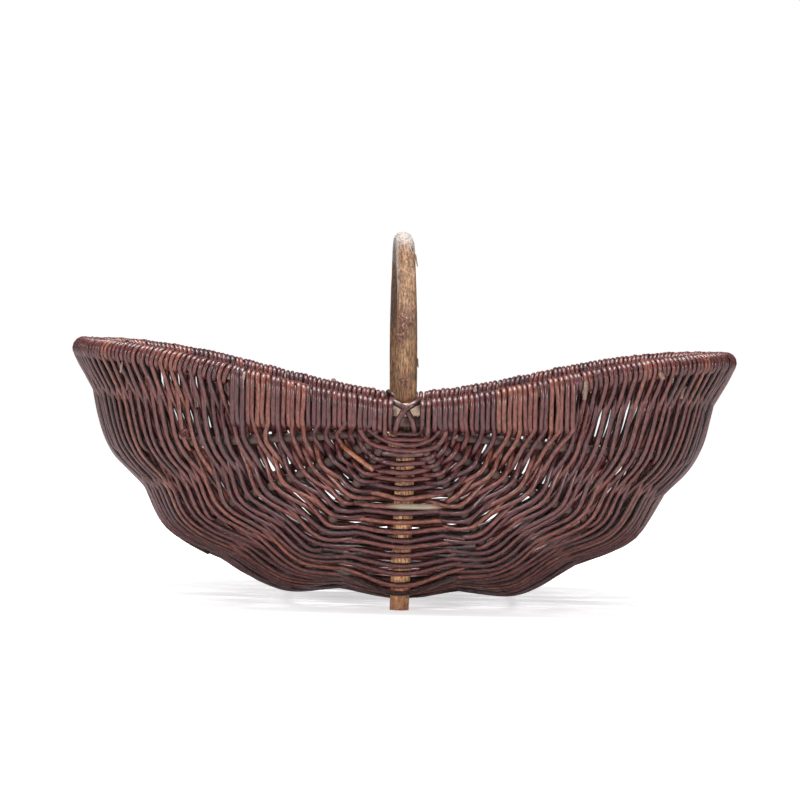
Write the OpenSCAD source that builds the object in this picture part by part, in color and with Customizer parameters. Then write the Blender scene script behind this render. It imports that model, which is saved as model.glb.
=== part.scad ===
/* [Overall size] */
// Length over the wrapped rim
basket_length = 600; // [560:5:640]
// Width over the wrapped rim
basket_width = 340; // [310:2:370]
// Height from the feet to the top of the handle
overall_height = 332; // [300:2:370]

/* [Rim] */
// Diameter of the rod that makes the rim hoop
rim_d = 10; // [9:0.5:11]
// Height of the hoop's centre at the middle of each long side
rim_height = 175.5; // [165:0.5:190]
// How much higher the hoop lies at its two ends
rim_rise = 45; // [36:1:52]
// How boxy the hoop is in plan, where 2 is an ellipse
rim_fullness = 2.8; // [2.5:0.1:3]

/* [Edge bars] */
// Diameter of the short rod bound under the rim at each side
bar_d = 8; // [7:0.5:9]
// Length of that rod
bar_length = 288; // [260:2:310]
// Gap between that rod and the rim at the middle
bar_gap = 0.5; // [0.3:0.1:2]

/* [Ribs] */
// Diameter of a rib
rib_d = 8; // [7:0.5:8]
// Diameter of a rib at its whittled tips
rib_tip_d = 4.6; // [4:0.1:4.8]
// Angle of each rib below the horizontal, from the upper one down
rib_angles = [4.7, 25, 57.2]; // [3:0.1:60]
// Distance of each rib from its tips at the middle of the basket
rib_reaches = [240, 204.5, 155]; // [150:0.5:245]
// How far the first rib's tips lie below the edge bar
rib_tip_drop = 10; // [9:0.5:12]
// How far each rib's tips lie below those of the rib above it
rib_tip_step = 5.5; // [5.2:0.1:7]
// How boxy each rib is, where 2 is an ellipse
rib_fullness = [2.6, 2.5, 2.4]; // [2.3:0.1:2.8]
// How far the rib tips lie inside the rim
rib_inset = 11; // [10:0.5:12]

/* [Handle] */
// Diameter of the handle stick
handle_d = 19; // [17:0.5:20]
// Diameter of its cut ends, which are the feet
foot_d = 16; // [15:0.5:17]
// Lean of each leg below the rim
leg_lean = 17; // [15:0.5:18]
// Radius of the bend between the arch and a leg
leg_bend = 160; // [140:5:180]

/* [Bottom rib] */
// Height of the bottom rib's centre at the middle
keel_height = 13; // [12:0.5:16]
// How far its ends turn up beside the legs
keel_turn = 38; // [32:1:44]
// How far its ends lie inside the feet
keel_inset = 5.5; // [4:0.5:10]

/* [Weave] */
// Diameter of a weaving rod
weaver_d = 4; // [3.5:0.1:4]
// Woven bands in each half that hang from the rim beyond the edge bars
rim_bands = 4; // [3:1:4]
// Gap that keeps neighbouring pieces apart
gap = 0.3; // [0.2:0.05:0.4]

/* [Hidden] */

bark_dark = [0.30, 0.19, 0.16];
bark_brown = [0.38, 0.25, 0.19];
rib_grey = [0.47, 0.37, 0.33];
stick_tan = [0.62, 0.47, 0.32];
peeled_tan = [0.72, 0.62, 0.47];

front = -1;
back = 1;
left = -1;
right = 1;
rim_wrap_r = rim_d / 2 + weaver_d;
bar_wrap_r = bar_d / 2 + weaver_d;
rim_a = basket_length / 2 - rim_wrap_r;
rim_b = basket_width / 2 - rim_wrap_r;
arch_r = rim_b - rim_d / 2 - gap - handle_d / 2;
arch_z = rim_height + 0.8;
arch_rise = overall_height - handle_d / 2 - arch_z;
bar_height = rim_height - rim_d / 2 - bar_gap - bar_d / 2;
lash_x = handle_d / 2 + gap + weaver_d / 2 + 0.6;
tip_x = lash_x + weaver_d / 2 + rib_tip_d / 2 + gap;
wrap_start_x = tip_x + 0.6;
rib_depth = rim_b - rib_inset;
rib_tip_heights = [for (k = [0 : 2]) bar_height - rib_tip_drop - rib_tip_step * k];
whittle = 14;
below = 12;
tube_sides = 8;
steps = 48;
bar_bands = 2;
wrap_end_x = bar_length / 2 - 3;
first_course = 0.035;
rows = 2;

// Small helpers
function unit(v) = v / norm(v);
function spow(base, power) = sign(base) * pow(abs(base), power);
function flip_x(p) = [-p[0], p[1], p[2]];
function flatten(lists) = [for (list = lists) each list];
function last(list) = list[len(list) - 1];

// Running length along a list of points
function lengths(points) = [
    for (i = 0, run = 0; i < len(points);
         run = run + (i + 1 < len(points) ? norm(points[i + 1] - points[i]) : 0), i = i + 1) run
];

// One value of a table of [share of the length, value, value and so on]
function pick(table, share, column) = lookup(share, [for (row = table) [row[0], row[column]]]);

// A quarter of a superellipse: how far out it reaches, and how deep it lies
function quarter(reach, depth, fullness, angle) =
    [reach * spow(sin(angle), 2 / fullness), depth * spow(cos(angle), 2 / fullness)];

// The outward direction at a point of that quarter
function quarter_normal(reach, depth, fullness, p) =
    unit([pow(abs(p[0]) / reach, fullness - 1) / reach, pow(abs(p[1]) / depth, fullness - 1) / depth]);

// A line of rods is a table of rows [share, x, y, z, normal x, normal y, normal z, radius],
// for the front left quarter of the basket, from the crossing to the middle
function as_table(samples) =
    let (run = lengths([for (sample = samples) sample[0]]))
    [for (i = [0 : len(samples) - 1])
        concat([run[i] / last(run)], samples[i][0], samples[i][1], [samples[i][2]])];
function spot(table, share) = [for (column = [1 : 3]) pick(table, share, column)];
function out(table, share) = unit([for (column = [4 : 6]) pick(table, share, column)]);
function thick(table, share) = pick(table, share, 7);

// The rim: its height follows a cosine from the middle of a side to each end
function rim_z(x) = rim_height + rim_rise * (1 - cos(180 * pow(abs(x) / rim_a, 0.875))) / 2;
rim_line = as_table([
    for (i = [0 : steps])
    let (p = quarter(rim_a, rim_b, rim_fullness, 90 * i / steps),
         n = quarter_normal(rim_a, rim_b, rim_fullness, p))
    [[-p[0], -p[1], rim_z(p[0])], [-n[0], -n[1], 0], rim_d / 2]
]);

// The share of the rim's quarter that has an edge bar under it
bar_share = lookup(bar_length / 2, [for (row = rim_line) [-row[1], row[0]]]);

// A rib lies in a slanting plane through its two tips
function rib_radius(run) = min(rib_d, rib_tip_d + (rib_d - rib_tip_d) * run / whittle) / 2;
function rib_line(k) =
    let (down = rib_angles[k], reach = rib_reaches[k], fullness = rib_fullness[k],
         ray = [-cos(down), 0, -sin(down)])
    as_table([
        for (i = [0 : steps])
        let (p = quarter(reach, rib_depth, fullness, 90 * i / steps),
             n = quarter_normal(reach, rib_depth, fullness, p))
        [[-tip_x, 0, rib_tip_heights[k]] + p[0] * ray + [0, -p[1], 0],
         n[0] * ray + [0, -n[1], 0], rib_radius(p[0])]
    ]);
rib_lines = [for (k = [0 : 2]) rib_line(k)];

// The leg: a bend below the arch, then straight to the ground
bend_end = [-arch_r + leg_bend * (1 - cos(leg_lean)), arch_z - leg_bend * sin(leg_lean)];
function leg_y(z) = z < bend_end[1]
    ? bend_end[0] + (bend_end[1] - z) * tan(leg_lean)
    : -arch_r + leg_bend * (1 - cos(asin((arch_z - z) / leg_bend)));
function leg_r(z) = foot_d / 2 + (handle_d - foot_d) / 2 * min(1, z / bend_end[1]);
foot_y = -leg_y(0);
keel_reach = foot_y - keel_inset;

// The bottom rib: a rod whose ends turn up inside the legs
function keel_spot(angle) =
    let (p = quarter(keel_turn, keel_reach, 4, angle))
    [0, -p[1], keel_height + keel_turn - p[0]];
function keel_out(angle) =
    let (n = quarter_normal(keel_turn, keel_reach, 4, quarter(keel_turn, keel_reach, 4, angle)))
    [0, -n[1], -n[0]];

// The line down the middle that the weave follows: the leg, then the bottom rib
leg_top = rib_tip_heights[0];
leg_end = keel_height + 6;
keel_start = 38;
centre_line = as_table(concat(
    [for (i = [0 : 12])
        let (z = leg_top + (leg_end - leg_top) * i / 12)
        [[0, leg_y(z), z], [0, -cos(leg_lean), -sin(leg_lean)], leg_r(z)]],
    [for (i = [0 : 12])
        let (angle = keel_start + (90 - keel_start) * i / 12)
        [keel_spot(angle), keel_out(angle), rib_d / 2]]
));

// A tube through a list of centres. Side is a direction that the tube never runs along
module tube(path, radii, side, closed = false, sides = tube_sides) {
    count = len(path);
    rings = [
        for (i = [0 : count - 1])
        let (before = path[closed ? (i + count - 1) % count : max(i - 1, 0)],
             after = path[closed ? (i + 1) % count : min(i + 1, count - 1)],
             along = unit(after - before),
             u = unit(cross(along, side)),
             v = cross(along, u))
        [for (j = [0 : sides - 1])
            path[i] + radii[i] * (cos(360 * (j + 0.5) / sides) * u + sin(360 * (j + 0.5) / sides) * v)]
    ];
    bands = closed ? count : count - 1;
    walls = [
        for (i = [0 : bands - 1]) for (j = [0 : sides - 1])
        let (a = i * sides + j, b = i * sides + (j + 1) % sides,
             c = ((i + 1) % count) * sides + (j + 1) % sides, d = ((i + 1) % count) * sides + j)
        each [[a, c, b], [a, d, c]]
    ];
    caps = closed ? [] : [
        [for (j = [0 : sides - 1]) j],
        [for (j = [sides - 1 : -1 : 0]) (count - 1) * sides + j]
    ];
    polyhedron(flatten(rings), concat(walls, caps), convexity = 10);
}

// A closed slab between two grids of points of the same size
module slab(outer, inner) {
    lines = len(outer);
    columns = len(outer[0]);
    far = lines * columns;
    skins = [
        for (i = [0 : lines - 2]) for (j = [0 : columns - 2])
        let (a = i * columns + j, b = a + 1, c = a + columns + 1, d = a + columns)
        each [[a, b, c], [a, c, d], [far + a, far + c, far + b], [far + a, far + d, far + c]]
    ];
    long_edges = [
        for (j = [0 : columns - 2])
        let (a = j, b = j + 1, c = (lines - 1) * columns + j, d = c + 1)
        each [[a, far + b, b], [a, far + a, far + b], [c, d, far + d], [c, far + d, far + c]]
    ];
    short_edges = [
        for (i = [0 : lines - 2])
        let (a = i * columns, b = a + columns, c = a + columns - 1, d = b + columns - 1)
        each [[a, far + b, far + a], [a, b, far + b], [c, far + c, far + d], [c, far + d, d]]
    ];
    polyhedron(concat(flatten(outer), flatten(inner)), concat(skins, long_edges, short_edges),
        convexity = 10);
}

// Shows front left shapes on any quarter or half of the basket
module place(side, half) {
    mirror([side == right ? 1 : 0, 0, 0]) mirror([0, half == back ? 1 : 0, 0]) children();
}

// The whole hoop, with the same spacing in every quarter
module hoop_tube(extra) {
    share = [for (i = [0 : 13]) i / 14];
    one = [for (f = share) spot(rim_line, f)];
    two = [for (f = share) let (p = spot(rim_line, 1 - f)) [p[0], -p[1], p[2]]];
    path = concat(one, two, [for (p = one) [-p[0], -p[1], p[2]]], [for (p = two) [-p[0], -p[1], p[2]]]);
    tube(path, [for (p = path) rim_d / 2 + extra], [0, 0, 1], true, 10);
}

module rim_hoop() {
    color(peeled_tan) hoop_tube(0);
}

// One rib of the left side, from its front tip to its back tip
module rib_tube(k, extra) {
    line = rib_lines[k];
    count = 11;
    ahead = [for (i = [0 : count]) spot(line, i / count)];
    behind = [for (i = [count - 1 : -1 : 0]) let (p = spot(line, i / count)) [p[0], -p[1], p[2]]];
    fat = [for (i = [0 : count]) thick(line, i / count) + extra];
    thin = [for (i = [count - 1 : -1 : 0]) thick(line, i / count) + extra];
    tube(concat(ahead, behind), concat(fat, thin), [sin(rib_angles[k]), 0, -cos(rib_angles[k])]);
}

module rib(side, k) {
    color(rib_grey) place(side, front) rib_tube(k, 0);
}

// The front half of the stick's centre line, from the top of the arch to below the ground
handle_front = concat(
    [for (i = [0 : 12]) let (a = 90 * i / 12) [0, -arch_r * sin(a), arch_z + arch_rise * cos(a)]],
    [for (i = [1 : 4]) let (z = arch_z + (bend_end[1] - arch_z) * i / 4) [0, leg_y(z), z]],
    [for (i = [1 : 3]) let (z = bend_end[1] - (bend_end[1] + below) * i / 3) [0, leg_y(z), z]]
);

// The stick that is the handle, both legs and both feet, which are cut flat on the ground
module handle() {
    path = concat([for (i = [len(handle_front) - 1 : -1 : 1]) let (p = handle_front[i]) [0, -p[1], p[2]]],
        handle_front);
    color(stick_tan) difference() {
        tube(path, [for (p = path) leg_r(max(p[2], 0))], [1, 0, 0], false, 16);
        translate([0, 0, -below]) cube([2 * handle_d, basket_width, 2 * below], center = true);
    }
}

// The room that the front leg needs in the weave
module leg_room() {
    heights = [for (i = [0 : 6]) arch_z - (arch_z + below) * i / 6];
    tube([for (z = heights) [0, leg_y(z), z]], [for (z = heights) leg_r(max(z, 0)) * 1.02 + gap],
        [1, 0, 0], false, 14);
}

module keel_tube(extra) {
    angles = [for (i = [0 : 10]) 4 + 8.6 * i];
    ahead = [for (a = angles) keel_spot(a)];
    behind = [for (i = [9 : -1 : 0]) let (p = ahead[i]) [p[0], -p[1], p[2]]];
    path = concat(ahead, behind);
    tube(path, [for (p = path) rib_d / 2 + extra], [1, 0, 0]);
}

module bottom_rib() {
    color(rib_grey) keel_tube(0);
}

// A bar is straight in height and follows the rim in plan, with whittled ends
function rim_y(x) = -rim_b * pow(1 - pow(abs(x) / rim_a, rim_fullness), 1 / rim_fullness);

module edge_bar(half) {
    half_length = bar_length / 2;
    spots = [for (i = [-10 : 10]) half_length * i / 10];
    color(peeled_tan) place(left, half)
        tube([for (x = spots) [x, rim_y(x), bar_height]],
            [for (x = spots) bar_d / 2 * (abs(x) > half_length * 0.95 ? 0.7 : 1)], [0, 0, 1]);
}

// The outline of the wrapping at one place: round the rim above and round the bar below
function wrap_ring(x, upper, lower) = concat(
    [for (a = [0 : 30 : 180]) [x, rim_y(x) + upper * cos(a), rim_z(x) + upper * sin(a)]],
    [for (a = [180 : 30 : 360]) [x, rim_y(x) + lower * cos(a), bar_height + lower * sin(a)]]
);

// The wrapping that binds a bar to the rim, from beside the crossing to the end of the bar
module edge_wrap(side, half) {
    cuts = 6;
    spots = [for (i = [0 : cuts - 1]) -wrap_start_x - (wrap_end_x - wrap_start_x) * i / (cuts - 1)];
    outer = [for (x = spots) wrap_ring(x, rim_wrap_r, bar_wrap_r)];
    inner = [for (x = spots) wrap_ring(x, rim_d / 2 + gap, bar_d / 2 + gap)];
    color(bark_dark) place(side, half) sleeve(outer, inner);
}

// The room that the end of that wrapping needs in the next band of the weave
module wrap_room() {
    hull() for (x = [-wrap_end_x - gap, -wrap_end_x * 0.7]) {
        translate([x, rim_y(x), rim_z(x)]) rotate([0, 90, 0]) cylinder(h = 0.1, r = rim_wrap_r + gap, $fn = 24);
        translate([x, rim_y(x), bar_height]) rotate([0, 90, 0]) cylinder(h = 0.1, r = bar_wrap_r + gap, $fn = 24);
    }
}

// A pipe between two lists of rings of the same size
module sleeve(outer, inner) {
    count = len(outer);
    sides = len(outer[0]);
    far = count * sides;
    walls = [
        for (i = [0 : count - 2]) for (j = [0 : sides - 1])
        let (a = i * sides + j, b = i * sides + (j + 1) % sides, c = b + sides, d = a + sides)
        each [[a, b, c], [a, c, d], [far + a, far + c, far + b], [far + a, far + d, far + c]]
    ];
    ends = [
        for (j = [0 : sides - 1])
        let (a = j, b = (j + 1) % sides, c = (count - 1) * sides + j, d = (count - 1) * sides + b)
        each [[a, far + b, b], [a, far + a, far + b], [c, d, far + d], [c, far + d, far + c]]
    ];
    polyhedron(concat(flatten(outer), flatten(inner)), concat(walls, ends), convexity = 10);
}

// The crossed strands that tie the handle to the rim: two slanting loops, one over the other
lash_z = (rim_height + bar_height) / 2 + 0.4;
lash_high = (rim_height - bar_height) / 2 + rim_d / 2 + weaver_d / 2 - 0.1;
lash_near = -rim_b - rim_d / 2 - gap - weaver_d / 2;
lash_far = -arch_r + handle_d / 2 + gap + weaver_d / 2;

module lash_loop(side, over) {
    middle = (lash_near + lash_far) / 2;
    deep = (lash_far - lash_near) / 2 + over;
    path = [
        for (i = [0 : 23])
        let (a = 360 * i / 24, rise = spow(sin(a), 0.5))
        [-side * lash_x * rise, middle + deep * spow(cos(a), 0.5), lash_z + lash_high * rise]
    ];
    tube(path, [for (p = path) weaver_d / 2], [1, 0, 0], true, 6);
}

module cross_lashing(half) {
    color(bark_brown) place(left, half) union() {
        lash_loop(left, 0);
        lash_loop(right, weaver_d - 0.2);
    }
}

// Where a course of the weave leaves the rim, or the wrapping of the bar under the rim
function hang(share) =
    let (p = spot(rim_line, share), n = out(rim_line, share),
         bar = [p[0], p[1], bar_height], down = unit(spot(rib_lines[0], share) - bar))
    share < bar_share
        ? [bar + (bar_wrap_r + 2 * gap) * down, unit(n - (n * down) * down), weaver_d * 0.6]
        : [p, n, weaver_d];

// A knot is where a course crosses a rod: [centre, outward direction, half thickness]
function knot(table, share) = [spot(table, share), out(table, share), thick(table, share) + weaver_d];

function middle_knot(a, b) =
    let (span = norm(a[0] - b[0]))
    [(a[0] + b[0]) / 2, unit(a[1] + b[1]),
     max(weaver_d * 0.6, (a[2] + b[2]) / 2 - 0.25 * span)];

// The same crossing a little before and after the rod, where the course bends round it
function shoulder(k, before, after, way) =
    let (reach = min(k[2] - weaver_d, 0.24 * min(norm(k[0] - before[0]), norm(after[0] - k[0]))),
         raw = after[0] - before[0], along = unit(raw - (raw * k[1]) * k[1]))
    [k[0] + way * reach * along, k[1], k[2] - 0.2 * reach];

// A course from the left end of the rim to the middle, as a list of knots
function half_course(share) =
    let (knots = concat([hang(share)], [for (line = rib_lines) knot(line, share)], [knot(centre_line, share)]),
         beyond = [flip_x(knots[3][0]), flip_x(knots[3][1]), knots[3][2]])
    concat([knots[0], middle_knot(knots[0], knots[1])],
        [for (k = [1 : 3]) each [
            shoulder(knots[k], knots[k - 1], knots[k + 1], -1), knots[k],
            shoulder(knots[k], knots[k - 1], knots[k + 1], 1), middle_knot(knots[k], knots[k + 1])]],
        [shoulder(knots[4], knots[3], beyond, -1), knots[4]]);

function edge_of(k, way) = k[0] + way * k[2] * k[1];

// A whole course, with one face outward or one inward
function course(share, way) =
    let (half = [for (k = half_course(share)) edge_of(k, way)])
    concat(half, [for (i = [len(half) - 2 : -1 : 0]) flip_x(half[i])]);

// Where each band of the weave starts and ends
function band_edge(i) = i <= bar_bands
    ? first_course + (bar_share - first_course) * i / bar_bands
    : bar_share + (1 - bar_share) * (i - bar_bands) / rim_bands;

function shares(number) =
    let (start = band_edge(number - 1) + 0.0008, end = band_edge(number) - 0.0008)
    [for (i = [0 : rows]) start + (end - start) * i / rows];

// The rim inside a band, wrapped by the band's own rods
module rim_turns(number) {
    along = shares(number);
    fine = [for (i = [0 : 2 * rows]) along[0] + (last(along) - along[0]) * i / (2 * rows)];
    path = [for (f = fine) spot(rim_line, f)];
    for (side = [left, right]) place(side, front)
        tube(path, [for (p = path) rim_wrap_r], [0, 0, 1], false, 10);
}

// A woven band, from rim to rim, round the ribs and the leg
module weave_band(half, number) {
    color(bark_dark) place(left, half) difference() {
        union() {
            slab([for (f = shares(number)) course(f, 1)], [for (f = shares(number)) course(f, -1)]);
            if (number > bar_bands) rim_turns(number);
        }
        if (number > bar_bands) hoop_tube(gap);
        for (side = [left, right]) for (k = [0 : 2]) place(side, front) rib_tube(k, gap);
        if (number == bar_bands + 1) for (side = [left, right]) place(side, front) wrap_room();
        if (number < bar_bands + 3) leg_room();
        if (number > bar_bands + 1) keel_tube(gap);
    }
}

rim_hoop();
handle();
bottom_rib();
rib(left, 0);  // rib_left_1
rib(left, 1);  // rib_left_2
rib(left, 2);  // rib_left_3
rib(right, 0);  // rib_right_1
rib(right, 1);  // rib_right_2
rib(right, 2);  // rib_right_3
edge_bar(front);  // edge_bar_front
edge_bar(back);  // edge_bar_back
edge_wrap(left, front);  // edge_wrap_front_left
edge_wrap(right, front);  // edge_wrap_front_right
edge_wrap(left, back);  // edge_wrap_back_left
edge_wrap(right, back);  // edge_wrap_back_right
cross_lashing(front);  // cross_lashing_front
cross_lashing(back);  // cross_lashing_back
weave_band(front, 1);  // weave_front_1
weave_band(front, 2);  // weave_front_2
weave_band(front, 3);  // weave_front_3
weave_band(front, 4);  // weave_front_4
weave_band(front, 5);  // weave_front_5
weave_band(front, 6);  // weave_front_6
weave_band(back, 1);  // weave_back_1
weave_band(back, 2);  // weave_back_2
weave_band(back, 3);  // weave_back_3
weave_band(back, 4);  // weave_back_4
weave_band(back, 5);  // weave_back_5
weave_band(back, 6);  // weave_back_6
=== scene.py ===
import bpy
import numpy as np
from mathutils import Matrix


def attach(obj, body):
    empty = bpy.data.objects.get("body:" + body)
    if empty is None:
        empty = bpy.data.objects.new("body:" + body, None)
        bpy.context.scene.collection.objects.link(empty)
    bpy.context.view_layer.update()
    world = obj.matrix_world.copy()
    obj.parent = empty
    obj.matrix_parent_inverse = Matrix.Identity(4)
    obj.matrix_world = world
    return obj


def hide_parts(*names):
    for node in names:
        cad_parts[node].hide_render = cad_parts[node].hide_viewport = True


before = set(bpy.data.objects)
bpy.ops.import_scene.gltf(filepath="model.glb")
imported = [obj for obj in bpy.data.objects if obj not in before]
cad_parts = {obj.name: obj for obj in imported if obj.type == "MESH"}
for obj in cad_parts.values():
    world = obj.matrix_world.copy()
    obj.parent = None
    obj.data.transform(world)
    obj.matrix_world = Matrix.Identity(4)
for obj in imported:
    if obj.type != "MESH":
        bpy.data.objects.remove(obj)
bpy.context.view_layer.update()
MM = 0.001


# Sizes in millimetres, the same as the part's source
BASKET_LENGTH = 600.0
BASKET_WIDTH = 340.0
OVERALL_HEIGHT = 332.0
RIM_D = 10.0
RIM_HEIGHT = 175.5
RIM_RISE = 45.0
RIM_FULLNESS = 2.8
RIM_DRAWN_IN = 0.013
BAR_D = 8.0
BAR_LENGTH = 288.0
BAR_GAP = 0.5
RIB_D = 8.0
RIB_TIP_D = 4.6
RIB_ANGLES = (4.7, 25.0, 57.2)
RIB_REACHES = (240.0, 204.5, 155.0)
RIB_TIP_DROP = 10.0
RIB_TIP_STEP = 5.5
RIB_FULLNESS = (2.6, 2.5, 2.4)
RIB_INSET = 11.0
HANDLE_D = 19.0
FOOT_D = 16.0
LEG_LEAN = np.radians(17.0)
LEG_BEND = 160.0
KEEL_HEIGHT = 13.0
KEEL_TURN = 38.0
KEEL_INSET = 5.5
WEAVER_D = 4.0
GAP = 0.3
WHITTLE = 14.0

RIM_WRAP_R = RIM_D / 2 + WEAVER_D
RIM_A = BASKET_LENGTH / 2 - RIM_WRAP_R
RIM_B = BASKET_WIDTH / 2 - RIM_WRAP_R
ARCH_R = RIM_B - RIM_D / 2 - GAP - HANDLE_D / 2
ARCH_Z = RIM_HEIGHT + 0.8
ARCH_RISE = OVERALL_HEIGHT - HANDLE_D / 2 - ARCH_Z
BAR_HEIGHT = RIM_HEIGHT - RIM_D / 2 - BAR_GAP - BAR_D / 2
LASH_X = HANDLE_D / 2 + GAP + WEAVER_D / 2 + 0.6
TIP_X = LASH_X + WEAVER_D / 2 + RIB_TIP_D / 2 + GAP
RIB_DEPTH = RIM_B - RIB_INSET
TIP_HEIGHTS = [BAR_HEIGHT - RIB_TIP_DROP - RIB_TIP_STEP * k for k in range(3)]
BEND_Y = -ARCH_R + LEG_BEND * (1 - np.cos(LEG_LEAN))
BEND_Z = ARCH_Z - LEG_BEND * np.sin(LEG_LEAN)


def unit(v):
    return v / np.maximum(np.linalg.norm(v, axis=-1, keepdims=True), 1e-9)


def quarter(reach, depth, fullness, angle):
    """A quarter of a superellipse: [reach * sin^(2/n), depth * cos^(2/n)]."""
    return np.stack([reach * np.abs(np.sin(angle)) ** (2 / fullness),
                     depth * np.abs(np.cos(angle)) ** (2 / fullness)], -1)


def quarter_normal(reach, depth, fullness, p):
    """The outward direction at a point of that quarter."""
    return unit(np.stack([(np.abs(p[..., 0]) / reach) ** (fullness - 1) / reach,
                          (np.abs(p[..., 1]) / depth) ** (fullness - 1) / depth], -1))


def rim_z(x):
    """The rim's height follows a cosine from the middle of a side to each end."""
    return RIM_HEIGHT + RIM_RISE * (1 - np.cos(np.pi * (np.abs(x) / RIM_A) ** 0.875)) / 2


def leg_y(z):
    """The leg: a bend of radius LEG_BEND below the arch, then straight to the ground."""
    bend = -ARCH_R + LEG_BEND * (1 - np.cos(np.arcsin(np.clip((ARCH_Z - z) / LEG_BEND, 0, 1))))
    return np.where(z < BEND_Z, BEND_Y + (BEND_Z - z) * np.tan(LEG_LEAN), bend)


def leg_r(z):
    return FOOT_D / 2 + (HANDLE_D - FOOT_D) / 2 * np.clip(z / BEND_Z, 0, 1)


FOOT_Y = -float(leg_y(np.array(0.0)))
KEEL_REACH = FOOT_Y - KEEL_INSET


class Line:
    """A stake of the front left quarter: points, outward directions and radii by share of its length."""

    def __init__(self, points, normals, radii):
        steps = np.linalg.norm(np.diff(points, axis=0), axis=1)
        run = np.concatenate([[0], np.cumsum(steps)])
        self.length = run[-1]
        self.share = run / run[-1]
        self.points = points
        self.normals = normals
        self.radii = np.broadcast_to(radii, self.share.shape)

    def _at(self, values, share):
        return np.stack([np.interp(share, self.share, values[:, k]) for k in range(3)], -1)

    def spot(self, share):
        return self._at(self.points, share)

    def out(self, share):
        return unit(self._at(self.normals, share))

    def thick(self, share):
        return np.interp(share, self.share, self.radii)


def rim_line():
    angle = np.radians(90 * np.linspace(0, 1, 200))
    p = quarter(RIM_A, RIM_B, RIM_FULLNESS, angle)
    n = quarter_normal(RIM_A, RIM_B, RIM_FULLNESS, p)
    zero = np.zeros(len(p))
    drawn_in = p[:, 0] * (1 - RIM_DRAWN_IN * (p[:, 0] / RIM_A) ** 6)
    return Line(np.stack([-drawn_in, -p[:, 1], rim_z(p[:, 0])], -1),
                np.stack([-n[:, 0], -n[:, 1], zero], -1), RIM_D / 2)


def rib_line(k):
    down = np.radians(RIB_ANGLES[k])
    angle = np.radians(90 * np.linspace(0, 1, 200))
    p = quarter(RIB_REACHES[k], RIB_DEPTH, RIB_FULLNESS[k], angle)
    n = quarter_normal(RIB_REACHES[k], RIB_DEPTH, RIB_FULLNESS[k], p)
    ray = np.array([-np.cos(down), 0, -np.sin(down)])
    start = np.array([-TIP_X, 0, TIP_HEIGHTS[k]])
    front = np.array([0, -1.0, 0])
    radii = np.minimum(RIB_D, RIB_TIP_D + (RIB_D - RIB_TIP_D) * p[:, 0] / WHITTLE) / 2
    return Line(start + p[:, :1] * ray + p[:, 1:] * front, n[:, :1] * ray + n[:, 1:] * front, radii)


def keel_spot(angle):
    p = quarter(KEEL_TURN, KEEL_REACH, 4, angle)
    return np.stack([np.zeros(len(p)), -p[:, 1], KEEL_HEIGHT + KEEL_TURN - p[:, 0]], -1)


def centre_line():
    """The line down the middle that the weave follows: the leg, then the bottom rib."""
    z = np.linspace(TIP_HEIGHTS[0], KEEL_HEIGHT + 6, 60)
    zero = np.zeros(60)
    leg = np.stack([zero, leg_y(z), z], -1)
    leg_out = np.tile([0, -np.cos(LEG_LEAN), -np.sin(LEG_LEAN)], (60, 1))
    angle = np.radians(np.linspace(38, 90, 60))
    p = quarter(KEEL_TURN, KEEL_REACH, 4, angle)
    n = quarter_normal(KEEL_TURN, KEEL_REACH, 4, p)
    keel_out = np.stack([zero, -n[:, 1], -n[:, 0]], -1)
    radii = np.concatenate([leg_r(z), np.full(60, RIB_D / 2)])
    return Line(np.concatenate([leg, keel_spot(angle)]), np.concatenate([leg_out, keel_out]), radii)


STAKES = [rim_line(), rib_line(0), rib_line(1), rib_line(2), centre_line()]


# Each half of the basket crosses nine stakes: rim, ribs 1 to 3, middle, ribs 3 to 1, rim
ORDER = [0, 1, 2, 3, 4, 3, 2, 1, 0]
COURSES = 60
BAR_COURSE = 20
ROD_R = 2.2
BAR_SHARE = float(np.interp(BAR_LENGTH / 2, -STAKES[0].points[:, 0], STAKES[0].share))
FIRST_SHARES = [0.061, 0.046, 0.040, 0.032, 0.078]
MIDDLE_SHARES = [BAR_SHARE, 0.372, 0.372, 0.372, 0.385]
CROSSING_X = (1.4, -3.0)

# Short turns: after which course, and round which stake a rod turns back to the rim
SHORT_TURNS = {11: 3, 23: 3, 29: 1, 33: 2, 37: 1, 43: 3, 47: 1, 53: 2}


def turn_at(j, course):
    """The stake that a rod turns back round beside this course, on the left or on the right."""
    if j < 4:
        return SHORT_TURNS.get(course, 0)
    return SHORT_TURNS.get(course + 1, 0)


def strand_number(stake, j, course):
    """How many strands cross a stake before this course: the courses, and two for each short turn."""
    before = sum(2 for c in range(course) if turn_at(j, c) >= stake and turn_at(j, c) > 0)
    return course + (before if stake < 4 else 0)


def spare_turns(j, number):
    """The turns round rim and bar between two strands that no course needs: one or two of them."""
    pair = (number + 1) // 2 if j == 0 else number // 2
    return 1 + (pair % 2 if number < strand_number(0, j, BAR_COURSE) else 0)


def rim_count(j, number):
    """How many turns lie on the rim before a strand."""
    lead = 1 if j == 0 else 0
    count = 0
    for n in range(number):
        count += spare_turns(j, n) if (n + lead) % 2 == 0 else 1
    return count


def strand_share(stake, j, number):
    """Where a strand crosses a stake, by share of the stake's length."""
    count = (lambda n: rim_count(j, n)) if stake == 0 else (lambda n: n)
    middle = count(strand_number(stake, j, BAR_COURSE))
    end = count(strand_number(stake, j, COURSES - 1))
    here = -1 if number < 0 else count(number)
    return float(np.interp(here, [-1, 0, middle, end, end + 1],
                           [FIRST_SHARES[stake] - 0.012, FIRST_SHARES[stake], MIDDLE_SHARES[stake], 0.993, 0.9965]))


def turned(points, j):
    """Points of the left side, mirrored to the right where the stake is on the right."""
    points = np.array(points, float)
    if j > 4:
        points[..., 0] = -points[..., 0]
    return points


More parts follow.
